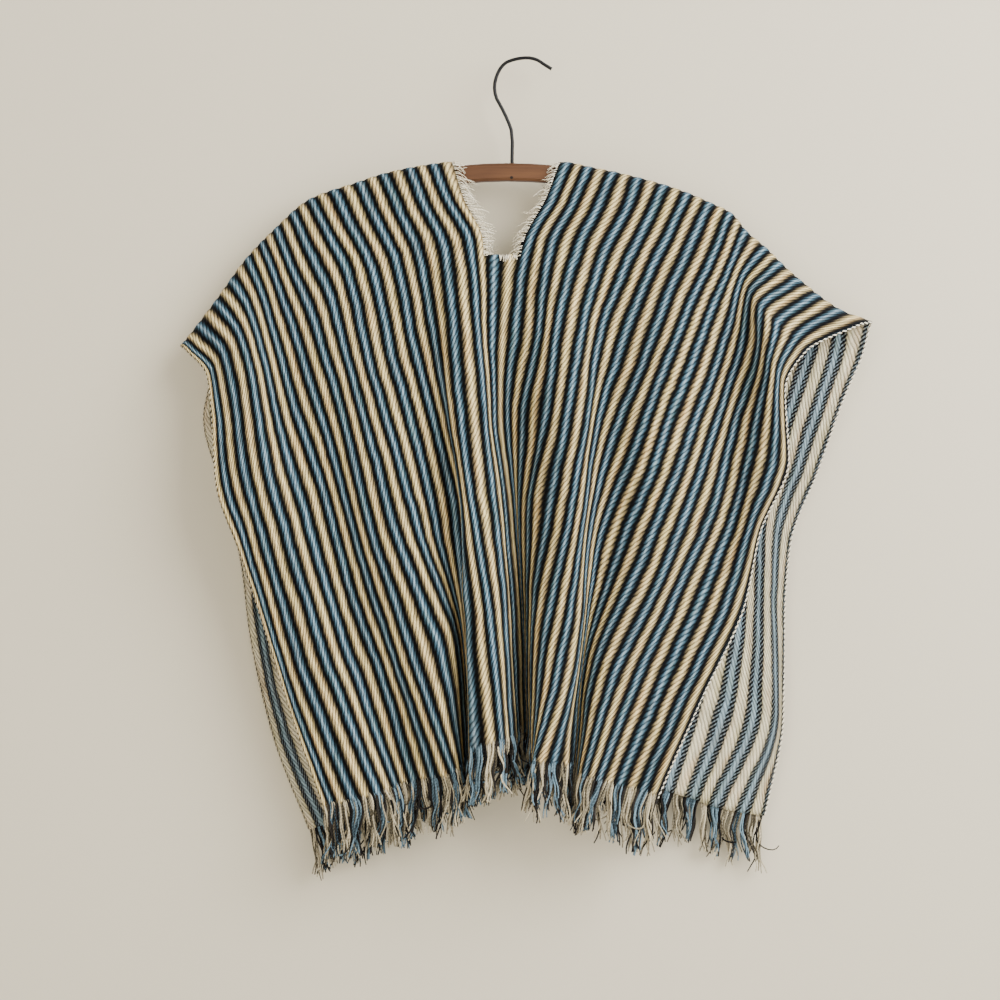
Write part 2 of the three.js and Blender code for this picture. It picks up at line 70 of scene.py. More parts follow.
# Guide stripes: stripe number, height at the shoulder and hem, x at each level (mm).
frontStripes = [
    (-14.6, -285, -745, [-335, -305, -299, -294, -271, -249, -220, -188]),
    (-14, -282, -742, [-332, -300, -293, -285, -264, -244, -215, -180]),
    (-12, -242, -732, [-301, -274, -261, -248, -229, -207, -173, -134]),
    (-10, -198, -722, [-269, -253, -240, -217, -190, -169, -132, -100]),
    (-8, -168, -711, [-240, -225, -206, -179, -157, -134, -97, -60]),
    (-6, -139, -699, [-206, -187, -165, -144, -119, -95, -58, -51]),
    (-4, -122, -688, [-158, -140, -119, -101, -78, -60, -49, -45]),
    (-3, -114, -683, [-134, -117, -96, -80, -65, -53, -46, -39]),
    (-2, -108, -677, [-108, -92, -71, -61, -54, -43, -25, -14]),
    (-1, -104, -674, [-84, -68, -46, -38, -31, -22, -11, -5]),
    (-0.3, -102, -672, [-63, -51, -31, -29, -25, -15, -6, 0]),
    (0.7, -102, -671, [43, 28, 5, -8, -13, -4, 3, 7]),
    (2, -107, -674, [74, 57, 34, 22, 7, 4, 8, 11]),
    (3, -112, -678, [99, 82, 60, 39, 28, 13, 11, 13]),
    (4, -118, -683, [124, 108, 85, 62, 47, 31, 16, 15]),
    (5, -125, -689, [149, 131, 109, 79, 66, 51, 27, 17]),
    (6, -133, -695, [172, 155, 133, 100, 76, 64, 45, 16]),
    (7, -143, -699, [195, 177, 156, 124, 91, 71, 61, 34]),
    (8, -153, -702, [215, 199, 178, 144, 113, 82, 65, 54]),
    (9, -171, -705, [230, 213, 195, 163, 133, 102, 69, 58]),
    (10, -188, -708, [250, 223, 212, 184, 154, 122, 77, 61]),
    (11, -203, -712, [265, 231, 225, 201, 174, 144, 96, 64]),
    (12, -220, -716, [284, 240, 238, 216, 196, 163, 117, 78]),
    (14, -250, -727, [325, 273, 255, 253, 230, 208, 163, 121]),
    (14.85, -261, -730, [355, 285, 263, 267, 239, 224, 180, 137]),
]
backStripes = [
    (-14.6, -285, -771, [-335, -307, -313, -294, -276, -267, -245, -208]),
    (-13, -262, -760, [-317, -290, -282, -262, -246, -240, -218, -176]),
    (-10, -198, -738, [-269, -254, -242, -222, -200, -190, -158, -134]),
    (-6, -139, -712, [-206, -187, -166, -152, -132, -118, -98, -80]),
    (-3, -114, -694, [-134, -117, -96, -84, -64, -41, -27, -22]),
    (-0.3, -102, -682, [-63, -51, -31, -22, -16, -10, -4, -1]),
    (0.7, -102, -680, [43, 28, 5, 2, 2, 5, 8, 10]),
    (4, -118, -686, [124, 108, 85, 70, 60, 52, 44, 38]),
    (8, -153, -704, [215, 200, 179, 158, 138, 122, 98, 82]),
    (11, -203, -729, [265, 262, 250, 228, 212, 200, 180, 150]),
    (12, -220, -739, [284, 281, 267, 244, 228, 226, 212, 177]),
    (13, -237, -748, [305, 301, 288, 264, 246, 244, 240, 200]),
    (14, -250, -754, [330, 324, 311, 286, 262, 259, 262, 228]),
    (14.85, -261, -757, [356, 347, 330, 304, 276, 270, 269, 250]),
]

# Crests and valleys from left to right: the stripe each follows and how far it stands out (mm).
frontFolds = [
    ("left edge", [-14.6] * 5, [8, 32, 40, 30, 30]),
    ("left sleeve crest", [-13, -12.8, -12.6, -12.4, -12.4], [8, 36, 44, 36, 36]),
    ("left sleeve valley", [-9.6, -9.8, -10.2, -10.3, -10.4], [8, 16, 20, 22, 22]),
    ("left field crest", [-7, -7, -7, -7.2, -8], [8, 14, 28, 42, 46]),
    ("left pleat", [-3, -3.6, -3.5, -4.2, -5.4], [8, 12, 16, 20, 8]),
    ("left ridge", [-1.4, -1.4, -1.7, -2.4, -2.7], [8, 16, 34, 52, 66]),
    ("centre valley", [0.3, 0.3, 0.3, 1.5, 1.7], [8, 12, 18, 0, -4]),
    ("right ridge", [3, 3, 3.4, 5.2, 6.3], [8, 16, 40, 52, 66]),
    ("right pleat", [5.6, 5.6, 5.6, 7.9, 9], [8, 12, 20, 26, 28]),
    ("right field crest", [7.6, 7.6, 8, 10.4, 11.2], [8, 16, 34, 46, 56]),
    ("right sleeve valley", [9.4, 10.6, 11.6, 13.2, 13.4], [8, 14, 18, 36, 50]),
    ("right sleeve crest", [12, 13, 14.2, 14.2, 14.4], [8, 46, 42, 38, 54]),
    ("right edge", [14.85] * 5, [8, 38, 36, 34, 50]),
]
backFolds = [
    ("left edge", [-14.6] * 5, [8, 8, 10, 14, 16]),
    ("left sleeve", [-12, -12, -12.4, -12.4, -12.4], [8, 10, 14, 17, 17]),
    ("left hollow", [-9, -9, -9.5, -9.5, -9.5], [8, 9, 5, -6, -12]),
    ("left wave", [-6, -6, -6, -5.2, -5], [8, 10, 16, 18, 18]),
    ("left inner hollow", [-3, -3, -3, -2.8, -2.5], [8, 9, 6, -10, -24]),
    ("centre wave", [0.2, 0.2, 0.2, 0.4, 0.4], [8, 10, 16, 18, 18]),
    ("right inner hollow", [4] * 5, [8, 9, 6, -12, -30]),
    ("right wave", [7, 7, 7, 6.8, 6.8], [8, 10, 16, 18, 18]),
    ("right hollow", [10, 10, 10.2, 10.2, 10], [8, 9, 6, -4, -16]),
    ("right sleeve", [12.6, 12.6, 13, 13.1, 12.6], [8, 9, 10, 6, 14]),
    ("right edge", [14.85] * 5, [8, 8, 14, 16, 16]),
]
frontPanel = {"side": -1, "stripes": frontStripes, "folds": frontFolds}
backPanel = {"side": 1, "stripes": backStripes, "folds": backFolds}


# Smooth curve through the values ys at xs, with no overshoot between them.
def spline(xs, ys, x):
    last = len(xs) - 1
    if x <= xs[0]:
        return ys[0]
    if x >= xs[last]:
        return ys[last]
    i = 0
    while x > xs[i + 1]:
        i += 1

    def rise(k):
        return (ys[k + 1] - ys[k]) / (xs[k + 1] - xs[k])

    def slope(k):
        if k == 0:
            return rise(0)
        if k == last:
            return rise(last - 1)
        a, b = rise(k - 1), rise(k)
        return 0.0 if a * b <= 0 else 2 * a * b / (a + b)

    h = xs[i + 1] - xs[i]
    t = (x - xs[i]) / h
    s = 1 - t
    return (ys[i] * (1 + 2 * t) * s * s + slope(i) * h * t * s * s
            + ys[i + 1] * t * t * (3 - 2 * t) - slope(i + 1) * h * t * t * s)


# A fold's flank turns to a lean, runs straight and turns back: the lean, and each turn's share.
def flankShape(run, rise):
    steepest, halvings = 0.93, 30
    q = min(abs(rise) / run, steepest)
    if q >= 2 / math.pi:
        return math.pi / 2, (1 - q) / (2 * (1 - 2 / math.pi))
    low, high = 0.0, math.pi / 2
    for _ in range(halvings):
        middle = (low + high) / 2
        if (1 - math.cos(middle)) / middle < q:
            low = middle
        else:
            high = middle
    return low, 0.5


def alongFlank(s, lean, turn):
    if s > 0.5:
        rise, across = alongFlank(1 - s, lean, turn)
        halfRise, halfAcross = alongFlank(0.5, lean, turn)
        return 2 * halfRise - rise, 2 * halfAcross - across
    rate = lean / turn
    if rate < 1e-6:
        return 0.0, s
    if s <= turn:
        return (1 - math.cos(s * rate)) / rate, math.sin(s * rate) / rate
    return ((1 - math.cos(lean)) / rate + (s - turn) * math.sin(lean),
            math.sin(lean) / rate + (s - turn) * math.cos(lean))


# One level of a panel: a function from stripe number to a point of the cloth, in mm.
def sectionOf(panel, t):
    at = [spline(foldLevels, fold[1], t) for fold in panel["folds"]]
    out = [spline(foldLevels, fold[2], t) for fold in panel["folds"]]
    flanks, across = [], 0.0
    for i in range(len(at) - 1):
        run = (at[i + 1] - at[i]) * cloth["repeat"]
        lean, turn = flankShape(run, out[i + 1] - out[i])
        whole = alongFlank(1, lean, turn)
        rise = out[i + 1] - out[i]
        flanks.append((at[i], at[i + 1], out[i], rise, run, lean, turn, whole[0], across))
        across += whole[1] * run

    def onFold(stripe):
        for start, end, depth, rise, run, lean, turn, whole, across in flanks:
            if stripe <= end:
                break
        s = min(max((stripe - start) / (end - start), 0), 1)
        partRise, partAcross = alongFlank(s, lean, turn)
        share = partRise / whole if whole > 1e-9 else s
        return depth + rise * share, across + partAcross * run

    stripes = [row[0] for row in panel["stripes"]]
    tops = [row[1] for row in panel["stripes"]]
    hems = [row[2] for row in panel["stripes"]]
    xs = [spline(levels, row[3], t) for row in panel["stripes"]]
    places = [onFold(stripe)[1] for stripe in stripes]
    radius = cloth["shoulderRadius"]
    arc = radius * math.pi / 2
    turned = min(t * cloth["drop"] / radius, math.pi / 2)
    beyond = max(t * cloth["drop"] - arc, 0) / (cloth["drop"] - arc)

    def point(stripe):
        depth, place = onFold(stripe)
        top = spline(stripes, tops, stripe)
        fall = top - spline(stripes, hems, stripe)
        z = top - radius * (1 - math.cos(turned)) - (fall - radius) * beyond
        return Vector((spline(places, xs, place), panel["side"] * depth * math.sin(turned), z))

    return point


def stripeColumns():
    columns = []
    for number in range(-15, 16):
        columns += [number + step / cloth["repeat"] for step in ridgeSteps]
    # the slot's edges take the place of the nearest columns
    for edge, near in ((cloth["slot"][0], -0.25), (cloth["slot"][1], 0.75)):
        columns[columns.index(near)] = edge
    first, last = frontStripes[0][0], frontStripes[-1][0]
    margin = cloth["edgeMargin"]
    return [first] + [u for u in columns if first + margin < u < last - margin] + [last]


# Rows from the front hem over the bar to the back hem, as signed shares of the drop.
def clothRows():
    turn, end = cloth["turnEnd"], cloth["slotEnd"]
    half = [turn * i / cloth["turnRows"] for i in range(cloth["turnRows"])]
    for start, stop in ((turn, end), (end, 1)):
        count = round((stop - start) * cloth["drop"] / cloth["rowLength"])
        half += [start + (stop - start) * i / count for i in range(count)]
    half.append(1)
    return [-t for t in reversed(half)] + half[1:]


def clothPoints(columns, rows):
    shoulder = [sectionOf(frontPanel, 0)(u) for u in columns]
    behind = [sectionOf(backPanel, 0)(u) for u in columns]
    grid = []
    for t in rows:
        point = sectionOf(backPanel if t > 0 else frontPanel, abs(t))
        line = [point(u) for u in columns]
        fade = max(1 - t / cloth["blend"], 0) if t > 0 else 0
        if fade:                # the two panels are one cloth where they meet
            line = [p + (a - b) * fade for p, a, b in zip(line, shoulder, behind)]
        grid.append(line)
    return grid


def gridNormals(grid):
    high, wide = len(grid), len(grid[0])
    normals = []
    for j in range(high):
        line = []
        for i in range(wide):
            along = grid[j][min(i + 1, wide - 1)] - grid[j][max(i - 1, 0)]
            up = grid[min(j + 1, high - 1)][i] - grid[max(j - 1, 0)][i]
            line.append(along.cross(up).normalized())
        normals.append(line)
    return normals


def ridgeHeight(stripe):
    return cloth["ridge"] * (abs(math.cos(2 * math.pi * stripe)) - 0.5)


# Small waves that hand-woven cloth keeps, none where it lies on the bar.
def waveHeight(stripe, t):
    start, length = cloth["calm"]
    calm = min(max((abs(t) - start) / length, 0), 1)
    side = 40 if t > 0 else 0           # the back's waves differ from the front's
    wide = noise.noise(Vector((stripe * 0.45 + side, t * 7, 3)))
    small = noise.noise(Vector((stripe * 1.3 + side, t * 16, 11)))
    return cloth["wave"] * calm * (wide + cloth["smallWave"] * small)


# Moves a bmesh grid of columns by rows onto points and gives it UVs in metres.
def drapeGrid(bm, columns, rows, grid, across, down):
    wide, high = len(columns), len(rows)
    uvLayer = bm.loops.layers.uv.new("weave")
    for vert in bm.verts:
        i = round((vert.co.x + 1) / 2 * (wide - 1))
        j = round((vert.co.y + 1) / 2 * (high - 1))
        vert.index = j * wide + i
    for face in bm.faces:
        for loop in face.loops:
            j, i = divmod(loop.vert.index, wide)
            loop[uvLayer].uv = (across[j][i] * mm, down[j][i] * mm)
    for vert in bm.verts:
        j, i = divmod(vert.index, wide)
        vert.co = grid[j][i] * mm


def meshObject(name, bm, materials):
    mesh = bpy.data.meshes.new(name)
    bm.to_mesh(mesh)
    bm.free()
    mesh.polygons.foreach_set("use_smooth", [True] * len(mesh.polygons))
    for material in materials:
        mesh.materials.append(material)
    piece = bpy.data.objects.new(name, mesh)
    bpy.context.scene.collection.objects.link(piece)
    return piece


def makeCloth(materials):
    columns, rows = stripeColumns(), clothRows()
    grid = clothPoints(columns, rows)
    normals = gridNormals(grid)
    high, wide = len(rows), len(columns)
    middle = rows.index(0)
    down = [[0.0] * wide for _ in rows]         # true length along each stripe from the shoulder
    for i in range(wide):
        for j in range(middle + 1, high):
            down[j][i] = down[j - 1][i] + (grid[j][i] - grid[j - 1][i]).length
        for j in range(middle - 1, -1, -1):
            down[j][i] = down[j + 1][i] - (grid[j][i] - grid[j + 1][i]).length
    across = [[u * cloth["repeat"] for u in columns] for _ in rows]
    for j, t in enumerate(rows):
        for i, u in enumerate(columns):
            grid[j][i] = grid[j][i] + normals[j][i] * (ridgeHeight(u) + waveHeight(u, t))
    bm = bmesh.new()
    bmesh.ops.create_grid(bm, x_segments=wide - 1, y_segments=high - 1, size=1)
    drapeGrid(bm, columns, rows, grid, across, down)
    left, right = cloth["slot"]
    inSlot = []
    for face in bm.faces:
        places = [divmod(vert.index, wide) for vert in face.verts]
        u = sum(columns[i] for _, i in places) / len(places)
        t = sum(rows[j] for j, _ in places) / len(places)
        if left < u < right and abs(t) < cloth["slotEnd"]:
            inSlot.append(face)
    bmesh.ops.delete(bm, geom=inSlot, context="FACES")
    piece = meshObject("wovenCloth", bm, materials)
    wall = piece.modifiers.new("wall", "SOLIDIFY")
    wall.thickness = cloth["wall"] * mm
    wall.offset = 0
    wall.use_quality_normals = True
    wall.material_offset = 1
    return piece


# Strands: many thin closed tubes in one grid, each with the same number of rings and sides.
# Each strand is (path, radii, material number, tone), in mm.
def makeStrands(name, strands, sides, materials):
    rings = len(strands[0][0])
    wide = sides + 1
    whole = len(strands) * wide
    bm = bmesh.new()
    bmesh.ops.create_grid(bm, x_segments=whole - 1, y_segments=rings - 1, size=1)
    uvLayer = bm.loops.layers.uv.new("yarn")
    toneLayer = bm.verts.layers.float.new("tone")
    angles = [2 * math.pi * i / sides for i in range(sides)]
    circles = []
    for path, radii, number, tone in strands:
        side = (path[1] - path[0]).orthogonal().normalized()
        length, line = 0.0, []
        for k, point in enumerate(path):
            ahead = (path[min(k + 1, rings - 1)] - path[max(k - 1, 0)]).normalized()
            side = (side - ahead * side.dot(ahead)).normalized()
            other = ahead.cross(side)
            if k:
                length += (point - path[k - 1]).length
            turn = [point + (side * math.cos(a) - other * math.sin(a)) * radii[k] for a in angles]
            line.append((turn + turn[:1], length))
        circles.append(line)
    for vert in bm.verts:
        i = round((vert.co.x + 1) / 2 * (whole - 1))
        j = round((vert.co.y + 1) / 2 * (rings - 1))
        vert.index = j * whole + i
    between = []                # faces from one strand to the next
    for face in bm.faces:
        i = min(loop.vert.index % whole for loop in face.loops)
        if i % wide == sides:
            between.append(face)
            continue
        strand = i // wide
        face.material_index = strands[strand][2]
        for loop in face.loops:
            j, k = divmod(loop.vert.index, whole)
            around = (k % wide) / sides * 2 * math.pi * max(strands[strand][1])
            loop[uvLayer].uv = (around * mm, circles[strand][j][1] * mm)
    for vert in bm.verts:
        j, i = divmod(vert.index, whole)
        strand = i // wide
        vert[toneLayer] = strands[strand][3]
        vert.co = circles[strand][j][0][i % wide] * mm
    bmesh.ops.delete(bm, geom=between, context="FACES")
    bmesh.ops.remove_doubles(bm, verts=bm.verts, dist=weldDistance)
    return meshObject(name, bm, materials)


# Colour from a sRGB hex value, as linear RGBA.
def colour(text):
    values = [int(text[k:k + 2], 16) / 255 for k in (1, 3, 5)]
    return [v / 12.92 if v <= 0.04045 else ((v + 0.055) / 1.055) ** 2.4 for v in values] + [1]


# A new node: inputs by name or number, each a value, a node or a socket, then its settings.
def add(tree, kind, inputs=None, **settings):
    node = tree.nodes.new("ShaderNode" + kind)
    for name, value in settings.items():
        if name == "ramp":
            while len(node.color_ramp.elements) < len(value):
                node.color_ramp.elements.new(0.5)
            for element, (place, shade) in zip(node.color_ramp.elements, value):
                element.position = place
                element.color = colour(shade) if isinstance(shade, str) else [shade] * 3 + [1]
        else:
            setattr(node, name, value)
    for key, value in (inputs or {}).items():
        if isinstance(value, bpy.types.Node):
            tree.links.new(value.outputs[0], node.inputs[key])
        elif isinstance(value, bpy.types.NodeSocket):
            tree.links.new(value, node.inputs[key])
        else:
            node.inputs[key].default_value = value
    return node


# A Math node: each input is a value, a node or a socket.
def calc(tree, operation, *inputs):
    return add(tree, "Math", dict(enumerate(inputs)), operation=operation)


# The colour of a Mix node between two colours.
def mixed(tree, factor, first, second, blend="MIX"):
    node = add(tree, "Mix", {"Factor": factor, 6: first, 7: second}, data_type="RGBA", blend_type=blend)
    return node.outputs[2]


def newMaterial(name):
    material = bpy.data.materials.new(name)
    material.use_nodes = True
    material.node_tree.nodes.clear()
    return material, material.node_tree


# Striped wool twill: dull, dense yarn in rounded ridges, with slanting yarns that show as teeth
# along the edges of each stripe.
weave = {
    "twillPitch": 3.4,          # mm between the slanting yarns
    "twillAngle": 28,           # degrees from the stripes
    "twillWobble": 0.8,         # in pitches
    "teeth": 0.08,              # reach of the dark yarns between them, share of half a repeat
    "wander": (0.0018, 0.005, 0.0034),      # metres that a stripe's edge strays: quick, slow, mean of both
    "faceShade": (0.88, 0.25),  # light on a slanting yarn: its reach and its least
    "reverseShade": (0.42, 0.66),
    "yarnTone": (0.32, 0.84),   # yarns differ by the first, from the second up
    "fuzz": (1.6, 0.2),
    "wearAndPaintedHaze": (-0.08, 0.33, 0.1),             # painted haze on the right side, standing in for grazing light that lifts the blacks and dims the cream: grows from the first to the second place across, to the third
    "paintedHazeColour": "#2B3036",
    "hatchPitch": 5.0,          # mm between the dark strokes of the reverse
    "hatchLean": 340.0,         # strokes for each metre across
    "hatchShare": 0.6,
    "hatchIn": (0.13, 0.25),    # where the strokes begin and end, 0 at blue and 1 at cream
    "hatchOut": (0.54, 0.68),
    "hatchColour": "#101114",
    "roughness": 0.95,
    "sheen": 0.03,
    "bumpDepth": 0.0009,        # metres
    "faceRamp": [               # from the middle of a blue stripe to the middle of a cream one: the stripes' own blue, black and cream, with painted highlight along the blue ridges' crests and painted shade down the ridges' sides
        (0.0, "#A0B7C5"), (0.06, "#85A0B0"), (0.14, "#5D7A8B"), (0.22, "#3A5463"), (0.31, "#1D2E38"),
        (0.39, "#0B1115"), (0.44, "#030303"), (0.5, "#040403"), (0.556, "#272118"), (0.62, "#4C4431"),
        (0.7, "#7E7154"), (0.79, "#B7A376"), (0.88, "#E9D198"), (1.0, "#FFECB2"),
    ],
    "reverseRamp": [
        (0.0, "#8FA5AE"), (0.16, "#8297A2"), (0.28, "#70828C"), (0.44, "#5F686C"), (0.53, "#7F7B6B"),
        (0.62, "#BBB296"), (0.74, "#D3C9AA"), (1.0, "#DDD4B6"),
    ],
}


def clothMaterial(name, ramp, reverse):
    material, tree = newMaterial(name)
    uv = add(tree, "UVMap", uv_map="weave")
    split = add(tree, "SeparateXYZ", {0: uv.outputs[0]})
    u, v = split.outputs["X"], split.outputs["Y"]
    # the yarns wander a little, so the stripes' edges are never ruled
    quick, far, mean = weave["wander"]
    wander = add(tree, "TexNoise", {"Vector": uv.outputs[0], "Scale": 95.0, "Detail": 2.0})
    shifted = calc(tree, "MULTIPLY_ADD", wander.outputs["Fac"], quick, u)
    slow = add(tree, "TexNoise", {"Vector": uv.outputs[0], "Scale": 17.0, "Detail": 2.0})
    drawn = calc(tree, "MULTIPLY_ADD", slow.outputs["Fac"], far, shifted)
    moved = calc(tree, "SUBTRACT", drawn, mean)
    repeats = calc(tree, "MULTIPLY_ADD", moved, 1000 / cloth["repeat"], 0.5)
    whole = calc(tree, "FLOOR", repeats)
    part = calc(tree, "FRACT", repeats)
    fromBlue = calc(tree, "SUBTRACT", part, 0.5)
    distance = calc(tree, "ABSOLUTE", fromBlue)
    place = calc(tree, "MULTIPLY", distance, 2.0)      # 0 blue, 1 cream
    # slanting yarns of the twill
    angle = math.radians(weave["twillAngle"])
    uPart = calc(tree, "MULTIPLY", u, 1000 * math.cos(angle) / weave["twillPitch"])
    slant = calc(tree, "MULTIPLY_ADD", v, -1000 * math.sin(angle) / weave["twillPitch"], uPart)
    wobble = add(tree, "TexNoise", {"Vector": uv.outputs[0], "Scale": 160.0, "Detail": 3.0})
    phase = calc(tree, "MULTIPLY_ADD", wobble.outputs["Fac"], weave["twillWobble"], slant)
    yarnNumber = calc(tree, "FLOOR", phase)
    inYarn = calc(tree, "FRACT", phase)
    arch = calc(tree, "MULTIPLY", inYarn, math.pi)
    onYarn = calc(tree, "SINE", arch)                     # 0 between yarns, 1 on them
    key = add(tree, "CombineXYZ", {0: yarnNumber, 1: whole})
    chance = add(tree, "TexWhiteNoise", {"Vector": key}, noise_dimensions="3D")
    # between those yarns the dark ones reach in from both sides
    side = calc(tree, "LESS_THAN", place, 0.45)
    way = calc(tree, "MULTIPLY_ADD", side, 2.0, -1.0)
    gap = calc(tree, "SUBTRACT", 1.0, onYarn)
    reach = calc(tree, "MULTIPLY", gap, weave["teeth"])
    toothed = calc(tree, "MULTIPLY_ADD", way, reach, place)
    # the stripes' colours; the face's ramp also holds painted highlight on the blue crests and painted shade
    # on the ridges' sides
    stripes = add(tree, "ValToRGB", {0: toothed}, ramp=ramp)
    fibres = add(tree, "TexNoise", {
        "Vector": uv.outputs[0], "Scale": 1400.0, "Detail": 4.0, "Roughness": 0.7,
    })
    rounded = calc(tree, "POWER", onYarn, 0.65)
    shade = calc(tree, "MULTIPLY_ADD", rounded, *weave["reverseShade" if reverse else "faceShade"])
    tone = calc(tree, "MULTIPLY_ADD", chance.outputs["Value"], *weave["yarnTone"])
    fuzz = calc(tree, "MULTIPLY_ADD", fibres.outputs["Fac"], *weave["fuzz"])
    product = calc(tree, "MULTIPLY", shade, tone)
    light = calc(tree, "MULTIPLY", product, fuzz)
    lightColour = add(tree, "CombineColor", {0: light, 1: light, 2: light})
    base = mixed(tree, 1.0, stripes, lightColour, "MULTIPLY")
    # dye lots: slow drift of warmth along the yarns
    stretch = add(tree, "Mapping", {"Vector": uv.outputs[0], "Scale": (160.0, 18.0, 1.0)})
    drift = add(tree, "TexNoise", {"Vector": stretch, "Scale": 1.0, "Detail": 2.0})
    hue = add(tree, "ValToRGB", {0: drift.outputs["Fac"]},
              ramp=[(0.3, "#F5E4D6"), (0.5, "#FFFFFF"), (0.7, "#F3F1DC")])
    dyed = mixed(tree, 0.8, base, hue, "MULTIPLY")
    # painted haze: the right side is greyed towards a dark colour, standing in for grazing light from the
    # right that lifts the blacks and dims the cream
    near, distant, most = weave["wearAndPaintedHaze"]
    paintedHaze = add(tree, "MapRange", {0: u, 1: near, 2: distant, 3: 0.0, 4: 0.0 if reverse else most})
    result = mixed(tree, paintedHaze, dyed, colour(weave["paintedHazeColour"]))
    if reverse:
        # dark yarns float across the edges of the light stripes on the reverse
        edges = []
        for (low, high), ends in ((weave["hatchIn"], (0.0, 1.0)), (weave["hatchOut"], (1.0, 0.0))):
            edges.append(add(tree, "MapRange", {0: place, 1: low, 2: high, 3: ends[0], 4: ends[1]},
                             interpolation_type="SMOOTHSTEP"))
        band = calc(tree, "MULTIPLY", *edges)
        lean = calc(tree, "MULTIPLY", u, weave["hatchLean"])
        stroke = calc(tree, "MULTIPLY_ADD", v, 1000 / weave["hatchPitch"], lean)
        wave = calc(tree, "FRACT", stroke)
        dark = calc(tree, "LESS_THAN", wave, weave["hatchShare"])
        amount = calc(tree, "MULTIPLY", dark, band)
        result = mixed(tree, amount, result, colour(weave["hatchColour"]))
    height = calc(tree, "MULTIPLY_ADD", fibres.outputs["Fac"], 0.35, onYarn)
    bump = add(tree, "Bump", {"Height": height, "Strength": 1.0, "Distance": weave["bumpDepth"]})
    surface = add(tree, "BsdfPrincipled", {
        "Base Color": result, "Roughness": weave["roughness"], "Normal": bump,
        "Sheen Weight": weave["sheen"], "Sheen Roughness": 0.5, "Specular IOR Level": 0.08,
    })
    add(tree, "OutputMaterial", {"Surface": surface})
    return material


# Loose wool yarn: matt, softly twisted, each yarn a shade of its own.
yarn = {
    "twistPitch": 3.2,          # along the yarn, mm
    "girth": 3.5,               # around it, mm
    "roughness": 0.95,
    "sheen": 0.05,
}


def yarnMaterial(name, dark, light):
    material, tree = newMaterial(name)
    uv = add(tree, "UVMap", uv_map="yarn")
    tone = add(tree, "Attribute", attribute_name="tone")
    split = add(tree, "SeparateXYZ", {0: uv.outputs[0]})
    around = calc(tree, "MULTIPLY", split.outputs["X"], 1000 / yarn["girth"])
    phase = calc(tree, "MULTIPLY_ADD", split.outputs["Y"], 1000 / yarn["twistPitch"], around)
    turn = calc(tree, "MULTIPLY", phase, 2 * math.pi)
    twist = calc(tree, "SINE", turn)
    fibres = add(tree, "TexNoise", {"Vector": uv.outputs[0], "Scale": 900.0, "Detail": 3.0, "Roughness": 0.7})
    grade = calc(tree, "MULTIPLY_ADD", twist, 0.12, tone.outputs["Fac"])
    rough = calc(tree, "MULTIPLY_ADD", fibres.outputs["Fac"], 0.5, grade)
    level = calc(tree, "SUBTRACT", rough, 0.25)
    shade = add(tree, "ValToRGB", {0: level}, ramp=[(0.0, dark), (1.0, light)])
    height = calc(tree, "MULTIPLY_ADD", fibres.outputs["Fac"], 0.6, twist)
    bump = add(tree, "Bump", {"Height": height, "Strength": 0.7, "Distance": 0.0002})
    surface = add(tree, "BsdfPrincipled", {
        "Base Color": shade, "Roughness": yarn["roughness"], "Normal": bump,
        "Sheen Weight": yarn["sheen"], "Sheen Roughness": 0.5, "Specular IOR Level": 0.1,
    })
    add(tree, "OutputMaterial", {"Surface": surface})
    return material


face = clothMaterial("stripedWoolTwill", weave["faceRamp"], False)
reverse = clothMaterial("stripedWoolTwillReverse", weave["reverseRamp"], True)
blueYarn = yarnMaterial("blueWoolYarn", "#121C24", "#7E9AA9")
blackYarn = yarnMaterial("blackWoolYarn", "#060607", "#2E2A26")
creamYarn = yarnMaterial("creamWoolYarn", "#3E382B", "#CDC1A2")
rawYarn = yarnMaterial("rawWoolYarn", "#DACDAE", "#FFF7E0")
print("cloth and yarn materials made")

wovenCloth = makeCloth([face, reverse])
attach(wovenCloth, "root")
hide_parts("front", "back")
print("woven cloth draped")

# Hem fringes: the warp's own ends left loose below each hem, in the stripes' colours.
hemFringe = {
    "locks": [                  # yarns of a lock: mm from the middle of a blue stripe, material
        [(-6.9, 1), (-5.4, 1), (-3.8, 0), (-2.4, 0), (-0.9, 0), (0.6, 0), (2.1, 0), (3.6, 0), (5.1, 1),
         (6.6, 1)],
        [(8.3, 2), (9.7, 2), (11.1, 2), (12.5, 2), (13.9, 2), (15.3, 2), (16.7, 2)],
    ],
    "layers": 2,
    "layerStep": 0.7,           # the second layer's yarns hang this far to the side, mm
    "secondLayer": 0.6,         # chance of a yarn in it
    "edgeMargin": 0.04,         # stripes left free at a side
    "splitOver": 5,             # locks of more yarns than this can part in two
    "splitChance": 0.25,
    "spread": (7, 3),           # how far a lock's tips stray in x and y, mm
    "lockLength": (0.84, 1.14),
    "gather": 0.6,              # how far a lock's tips draw together
    "radius": 0.95,
    "thickness": (0.75, 1.3),
    "taper": 0.4,
    "sides": 5,
    "rings": 14,
    "lengthAtSide": 49.0,
    "lengthAtMiddle": 42.0,
    "halfWidth": 14.7,          # stripes from the middle to a side
    "wiggle": 1.6,
    "curl": 5,
    "twirlChance": 0.03,        # a few tips turn round
    "overlap": 9.0,             # the yarns start this far above the hem
    "capLength": 0.4,           # the blunt tip, mm
    "blackBelow": 0.09,         # draws that give a strayed black yarn, and then a cream one
    "creamBelow": 0.17,
    "tones": (0.05, 0.3, 0.5, 0.65, 0.8, 1.1),
}


